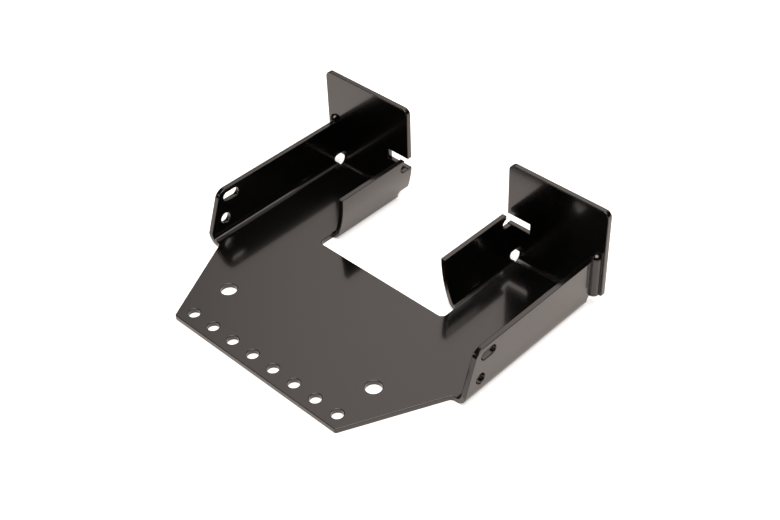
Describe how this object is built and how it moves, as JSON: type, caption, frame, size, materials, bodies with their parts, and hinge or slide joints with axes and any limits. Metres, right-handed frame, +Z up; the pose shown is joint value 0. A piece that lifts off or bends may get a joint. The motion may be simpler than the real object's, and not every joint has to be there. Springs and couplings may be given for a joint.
{
  "type": "limit bracket",
  "caption": "Folded steel bracket: a flat base with a row of bolt holes, and two channel arms ending in tall plates either side of a wide gap.",
  "frame": {"origin": "on the underside of the base, at the middle of the row of small holes", "axes": "+X along the row of small holes to the right arm, +Y back along the arms, +Z up from the underside"},
  "size_m": [0.328, 0.258, 0.102],
  "materials": {
    "powder_coat": "gloss black powder coat on folded steel sheet"
  },
  "bodies": {
    "root": {"bracket": "powder_coat"}
  },
  "joints": []
}
